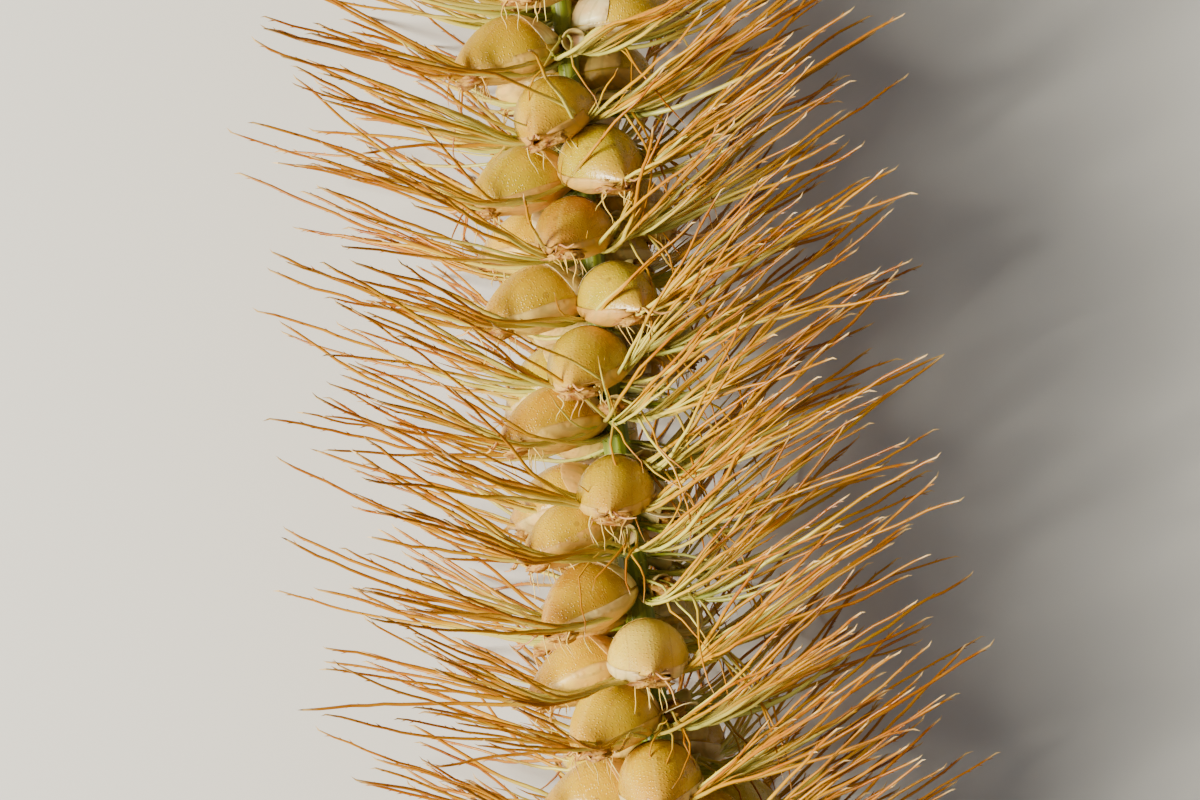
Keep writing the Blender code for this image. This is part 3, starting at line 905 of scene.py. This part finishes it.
def husk_template(sides=32, rings=18):
    """The lemma: a domed back with a faint keel, a flatter front and a short beak."""
    husk = bmesh.new()
    bmesh.ops.create_uvsphere(husk, u_segments=sides, v_segments=rings, radius=1)
    for vertex in husk.verts:
        u = (vertex.co.z + 1) / 2
        full = fullness(u)
        x, y = section(math.atan2(vertex.co.y, vertex.co.x))
        keel = KEEL_RISE * math.exp(-((x / KEEL_WIDTH) ** 2)) if y > 0 else 0.0
        vertex.co.x = full * PLUMPNESS * HUSK_HALF_WIDTH * x
        vertex.co.y = full * (DOME_HEIGHT if y > 0 else FRONT_DEPTH) * (y + keel)
        vertex.co.z = u * HUSK_LENGTH + BEAK * smooth((u - BEAK_START) / (1 - BEAK_START))
    return template(husk)


def skin_template(surface, columns, rows):
    """A thin closed skin through surface(a, t), where a runs across from -1 to 1 and t along from 0 to 1."""
    skin = bmesh.new()
    bmesh.ops.create_grid(skin, x_segments=columns, y_segments=rows, size=1)
    for vertex in skin.verts:
        vertex.co = surface(vertex.co.x, (vertex.co.y + 1) / 2)
    bmesh.ops.solidify(skin, geom=skin.faces[:], thickness=SKIN)
    bmesh.ops.recalc_face_normals(skin, faces=skin.faces[:])
    return template(skin)


def lemma_surface(a, t):
    """The lower lemma: a boat under the husk that climbs past its margins and gapes at its ragged end."""
    torn = 0.05 * math.sin(7.3 * a + 0.8) + 0.03 * math.sin(17.0 * a) + 0.02 * math.sin(31.0 * a)
    u = mix(0.05, 0.90 + torn, t)
    full = fullness(u)
    angle = LEMMA_WRAP * a
    gape = 0.12 * smooth((u - 0.66) / 0.28)
    depth = (0.42 * full + 0.16 * math.sin(math.pi * u) + gape) * MM
    fold = 1 + 0.05 * math.sin(17.0 * a) * t
    x = PLUMPNESS * HUSK_HALF_WIDTH * (1.02 * full + 0.10 * gape) * math.sin(angle)
    return Vector((x, -depth * fold * math.cos(angle), u * HUSK_LENGTH))


def glume_surface(a, t):
    """The upper glume: clasps the base of the dome and ends in a blunt point."""
    u = mix(0.03, 0.37 - 0.10 * a * a, t)
    full = fullness(u) * 1.01
    x, y = section(math.pi / 2 - GLUME_WRAP * a)
    x *= PLUMPNESS * HUSK_HALF_WIDTH * full
    return Vector((x, DOME_HEIGHT * full * y + 0.01 * MM, u * HUSK_LENGTH))


def scale_surface(a, t):
    """A loose papery scale, cupped and flared, as is left at some of the cups."""
    width = math.sin(math.pi * (0.10 + 0.78 * t)) * 0.62
    x = width * math.sin(1.2 * a)
    y = 0.10 + 0.34 * t * t - 0.30 * width * (1 - math.cos(1.2 * a))
    return Vector((x, y, 0.55 + 1.5 * t - 0.12 * a * a)) * MM


def revolved(profile, sides):
    """A closed shape turned about Z from a profile of radii and heights that starts and ends on the axis."""
    shape = bmesh.new()
    rings = []
    for radius, height in profile:
        count = sides if radius > 0 else 1
        angles = [2 * math.pi * k / sides for k in range(count)]
        rings.append([shape.verts.new((radius * math.cos(a), radius * math.sin(a), height)) for a in angles])
    for lower, upper in zip(rings, rings[1:]):
        for k in range(sides):
            after = (k + 1) % sides
            around = (lower, k), (lower, after), (upper, after), (upper, k)
            corners = [ring[i % len(ring)] for ring, i in around]
            shape.faces.new(list(dict.fromkeys(corners)))
    bmesh.ops.recalc_face_normals(shape, faces=shape.faces[:])
    return shape


def cup_template():
    stalk, cup, height = PEDICEL_RADIUS, CUP_RADIUS, PEDICEL_LENGTH
    profile = (
        (0.0, 0.0),
        (stalk, 0.0),
        (0.9 * stalk, 0.35 * height),
        (1.1 * stalk, 0.62 * height),
        (0.84 * cup, 0.84 * height),
        (1.00 * cup, 0.97 * height),
        (0.95 * cup, 1.00 * height),
        (0.82 * cup, 0.96 * height),
        (0.55 * cup, 0.85 * height),
        (0.0, 0.80 * height),
    )
    return template(revolved(profile, CUP_SIDES))


def scrap_template(size, place):
    """A crumpled remnant of a flower, of the size and at the place given in millimetres."""
    shape = bmesh.new()
    bmesh.ops.create_icosphere(shape, subdivisions=3, radius=1)
    for vertex in shape.verts:
        crumple = 1 + 0.30 * math.sin(5 * vertex.co.x + 3 * vertex.co.z) * math.cos(6 * vertex.co.y)
        scaled = Vector([share * length for share, length in zip(vertex.co, size)])
        vertex.co = (scaled * crumple + Vector(place)) * MM
    return template(shape)


# Seeds: what the geometry trees grow the pieces from


def line_mesh(name, lines, **attributes):
    """A mesh of open lines, with one value of each attribute for every line."""
    count, points = len(lines), len(lines[0])
    starts = np.arange(count)[:, None] * points
    steps = np.arange(points - 1)[None, :]
    edges = np.stack([starts + steps, starts + steps + 1], axis=-1).reshape(-1, 2)
    mesh = bpy.data.meshes.new(name)
    mesh.from_pydata(np.reshape(lines, (-1, 3)), edges.tolist(), [])
    for label, values in attributes.items():
        keep(mesh, label, np.repeat(values, points))
    return mesh


def point_mesh(name, spikelets):
    """A point at each spikelet's root, with its directions, size and tint."""
    mesh = bpy.data.meshes.new(name)
    mesh.from_pydata([spikelet["root"] for spikelet in spikelets], [], [])
    for label, key in (("along_axis", "along"), ("back_axis", "back"), ("size", "size"), ("tint", "tint")):
        keep(mesh, label, [spikelet[key] for spikelet in spikelets])
    return mesh


def in_place(spikelet, line):
    """A line, given in millimetres across, back and along a spikelet of size 1, moved to its place."""
    axes = np.array([spikelet["across"], spikelet["back"], spikelet["along"]])
    return spikelet["root"] + spikelet["size"] * MM * np.transpose(line) @ axes


def plan_threads(standing):
    """Pale threads that hang from under each husk, and a short forked remnant at its beak."""
    draw = np.random.default_rng(SEED + 3)
    t = np.linspace(0, 1, THREAD_POINTS)
    strands = []
    for spikelet in standing:
        for _ in range(THREADS):
            x, z = draw.uniform(-0.6, 0.6), draw.uniform(*THREAD_REACH) * HUSK_LENGTH / MM
            drop, out = draw.uniform(0.35, 0.95), draw.uniform(-0.1, 0.4)
            sway, curl = draw.uniform(-0.3, 0.3), draw.uniform(-0.13, 0.13)
            across, along = x + sway * t + curl * np.sin(5 * t), z + out * t + curl * np.cos(4 * t)
            line = in_place(spikelet, [across, -0.22 - drop * t, along])
            strands.append((line, draw.uniform(0.0, 0.75), draw.uniform(0.7, 1.3)))
        for arm in (-1, 0, 1):
            length, side = draw.uniform(0.25, 0.55), 0.55 * arm + draw.uniform(-0.25, 0.25)
            dip = draw.uniform(-0.35, 0.15)
            reach = HUSK_LENGTH / MM - 0.06 + length * t
            across, back = side * length * t * (1 + t), dip * length * t + 0.05 * np.sin(7 * t)
            line = in_place(spikelet, [across, back, reach])
            strands.append((line, draw.uniform(0.5, 1.0), draw.uniform(1.3, 2.1)))
    return strands


def plan_curls(fallen):
    """Curled bristles that bend down over the bare places where spikelets have dropped off."""
    draw = np.random.default_rng(SEED + 4)
    t = np.linspace(0, 1, CURL_POINTS)[:, None]
    strands = []
    for spikelet in fallen:
        tangent, side, up = axis_frame(spikelet["y"])
        for _ in range(CURLS):
            azimuth = spikelet["azimuth"] + draw.uniform(-0.5, 0.5)
            radial = outward(azimuth, side, up)
            aside = outward(azimuth + math.pi / 2, side, up)
            length, bend = draw.uniform(*CURL_LENGTHS), draw.uniform(*CURL_BEND)
            sway = draw.uniform(-CURL_SWAY, CURL_SWAY)
            wave = 0.07 * np.sin(9 * t + draw.uniform(0, 6)) * t
            out = radial * np.sin(1.5 * t) * 0.75 + aside * (sway * t * t + wave)
            root = axis_point(spikelet["y"]) + 0.2 * MM * radial
            line = root + length * (out - tangent * bend * t * t)
            strands.append((line, draw.uniform(0.1, 0.8), draw.uniform(0.55, 0.85)))
    return strands


def plan_fine_bristles(fans):
    """Shorter and finer bristles that stand between the neighbours in each fan."""
    draw = np.random.default_rng(SEED + 6)
    steps, strands = np.arange(BRISTLE_STEPS + 1), []
    for fan in fans:
        for near, far in zip(fan, fan[1:]):
            line = mix(near, far, draw.uniform(0.2, 0.8))
            at = np.linspace(0, draw.uniform(*FINE_REACH) * BRISTLE_STEPS, FINE_POINTS)
            line = np.transpose([np.interp(at, steps, line[:, axis]) for axis in range(3)])
            strands.append((line, draw.uniform(-0.9, 0.1), draw.uniform(0.7, 1.1)))
    return strands


def tinted(spikelets, draw, low=0.0, high=1.0):
    return [dict(spikelet, tint=draw.uniform(low, high)) for spikelet in spikelets]


# Pieces


def make_rod(name, ys, radii, hairs, material):
    seed = line_mesh(name, [[axis_point(y) for y in ys]])
    keep(seed, "width", radii)
    tree = bpy.data.node_groups["ribbed_rod"]
    return grow(name, seed, tree, Hairs=hairs, Material=material, **ROD_SIZES)


def make_bristles(fans, material):
    draw = np.random.default_rng(SEED + 2)
    tree = strands_tree("barbed_bristles", BRISTLE_GIRTHS, barbed=True)
    names = ("bristles_top", "bristles_middle", "bristles_base")
    pieces = []
    for name, part in zip(names, np.array_split(fans.reshape(-1, BRISTLE_STEPS + 1, 3), 3)):
        seed = line_mesh(name, part, tint=draw.random(len(part)), girth=draw.uniform(0.78, 1.12, len(part)))
        pieces.append(grow(name, seed, tree, Material=material, **BRISTLE_SIZES))
    return pieces


def make_strands(tree, name, strands, material):
    """A piece from strands that are each a line, a tint and a girth."""
    lines, tints, girths = zip(*strands)
    seed = line_mesh(name, lines, tint=tints, girth=girths)
    radius, kink = STRANDS[name]
    return grow(name, seed, tree, Radius=radius, Kink=kink, Material=material, **STRAND_SIZES)


def spread(tree, name, spikelets, shape, material):
    """The template's shape on each of the spikelets, as one piece. The template goes when it is done."""
    ruffle, scale = RUFFLES[name]
    values = {"Template": shape, "Ruffle": ruffle, "RuffleScale": scale, "Seed": 5, "Material": material}
    made = grow(name, point_mesh(name, spikelets), tree, **values)
    bpy.data.objects.remove(shape)
    return made


def make_head():
    """Every piece of the head, from the rachis out."""
    draw = np.random.default_rng(SEED + 5)
    plan = plan_spikelets()
    fans = plan_bristles(plan)
    for n, spikelet in enumerate(plan):
        spikelet["tint"] = RIPENESS.get(n, draw.uniform(*OTHER_RIPENESS))
    standing = [spikelet for spikelet in plan if not spikelet["fallen"]]
    fallen = [spikelet for spikelet in plan if spikelet["fallen"]]
    bristle, papery, scrap = bristle_material(), papery_material(), scrap_material()
    green = green_material()
    ys = np.linspace(HEAD_BASE_Y, HEAD_TOP_Y + RACHIS_TIP_REACH, 90)
    radii = [rachis_radius(y) for y in ys]
    rachis = make_rod("rachis", ys, radii, RACHIS_HAIRS, green)
    kinds = (
        ("husks", standing, husk_template(), husk_material()),
        ("lower_lemmas", tinted(standing, draw, 0.1, 0.6), skin_template(lemma_surface, 22, 9), papery),
        ("upper_glumes", tinted(standing, draw, 0.0, 0.6), skin_template(glume_surface, 14, 7), papery),
        ("loose_scales", tinted(fallen[1::2], draw, 0.0, 0.15), skin_template(scale_surface, 10, 8), papery),
        ("cups", tinted(fallen, draw), cup_template(), cup_material()),
        ("scraps", tinted(fallen[1::3], draw), scrap_template(*SCRAP), scrap),
        ("withered_flowers", tinted(standing, draw), scrap_template(*FLOWER), scrap),
    )
    tree = spread_tree()
    pieces = [spread(tree, *kind) for kind in kinds]
    tree = strands_tree("plain_strands", STRAND_GIRTHS, barbed=False)
    pieces += [
        make_strands(tree, "threads", plan_threads(standing), thread_material()),
        make_strands(tree, "curled_bristles", plan_curls(fallen), bristle),
        make_strands(tree, "fine_bristles", plan_fine_bristles(fans), bristle),
    ]
    return rachis, pieces + make_bristles(fans, bristle), green


# The studio


def add_camera():
    data = bpy.data.cameras.new("camera")
    data.lens, data.sensor_width = LENS, SENSOR
    data.clip_start, data.clip_end = 0.005, 5.0
    camera = add_object("camera", data)
    right = Vector((math.cos(VIEW_LEAN), -math.sin(VIEW_LEAN), 0))
    target = Vector(axis_point(VIEW_Y)) - VIEW_ASIDE * right
    camera.location = target + Vector((0, 0, FRAME_WIDTH * LENS / SENSOR))
    camera.rotation_euler = (0, 0, -VIEW_LEAN)
    bpy.context.scene.camera = camera


def add_light(name, location, size, power, colour):
    data = bpy.data.lights.new(name, "AREA")
    data.shape, data.size, data.energy, data.color = "DISK", size, power, colour
    light = add_object(name, data)
    light.location = location
    light.rotation_euler = (Vector((0, 0.01, 0.004)) - Vector(location)).to_track_quat("-Z", "Y").to_euler()


def add_studio():
    mesh = bpy.data.meshes.new("floor")
    mesh.from_pydata([(-0.5, -0.5, 0), (0.5, -0.5, 0), (0.5, 0.5, 0), (-0.5, 0.5, 0)], [], [(0, 1, 2, 3)])
    material, _, shader = new_material("pale_floor")
    shader["Base Color"].default_value = (0.66, 0.65, 0.63, 1)
    shader["Roughness"].default_value = 0.9
    mesh.materials.append(material)
    add_object("floor", mesh)
    world = bpy.data.worlds.new("studio")
    world.use_nodes = True
    light = world.node_tree.nodes["Background"].inputs
    light["Color"].default_value = (0.92, 0.95, 1.0, 1)
    light["Strength"].default_value = 0.13
    bpy.context.scene.world = world
    add_light("key", (-0.15, 0.0, 0.12), 0.07, 1.22, (1.0, 0.95, 0.80))
    add_light("fill", (0.15, -0.1, 0.16), 0.14, 0.05, (0.92, 0.96, 1.0))


def main():
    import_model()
    add_mottle_group()
    add_wrinkle_group()
    add_rod_tree()
    rachis, pieces, green = make_head()
    ys = [CUT_END_Y, CUT_END_Y + 0.01 * MM, *np.linspace(ARCH_START_Y, HEAD_BASE_Y, 60)]
    radii = [0.97 * STEM_RADIUS, STEM_RADIUS, *np.linspace(STEM_RADIUS, RACHIS_BASE_RADIUS, 60)]
    culm = make_rod("culm", ys, radii, STEM_HAIRS, green)
    for piece in (*pieces, rachis, culm):
        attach(piece, "root")
    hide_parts("seed_head")
    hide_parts("stem")
    add_camera()
    add_studio()


main()
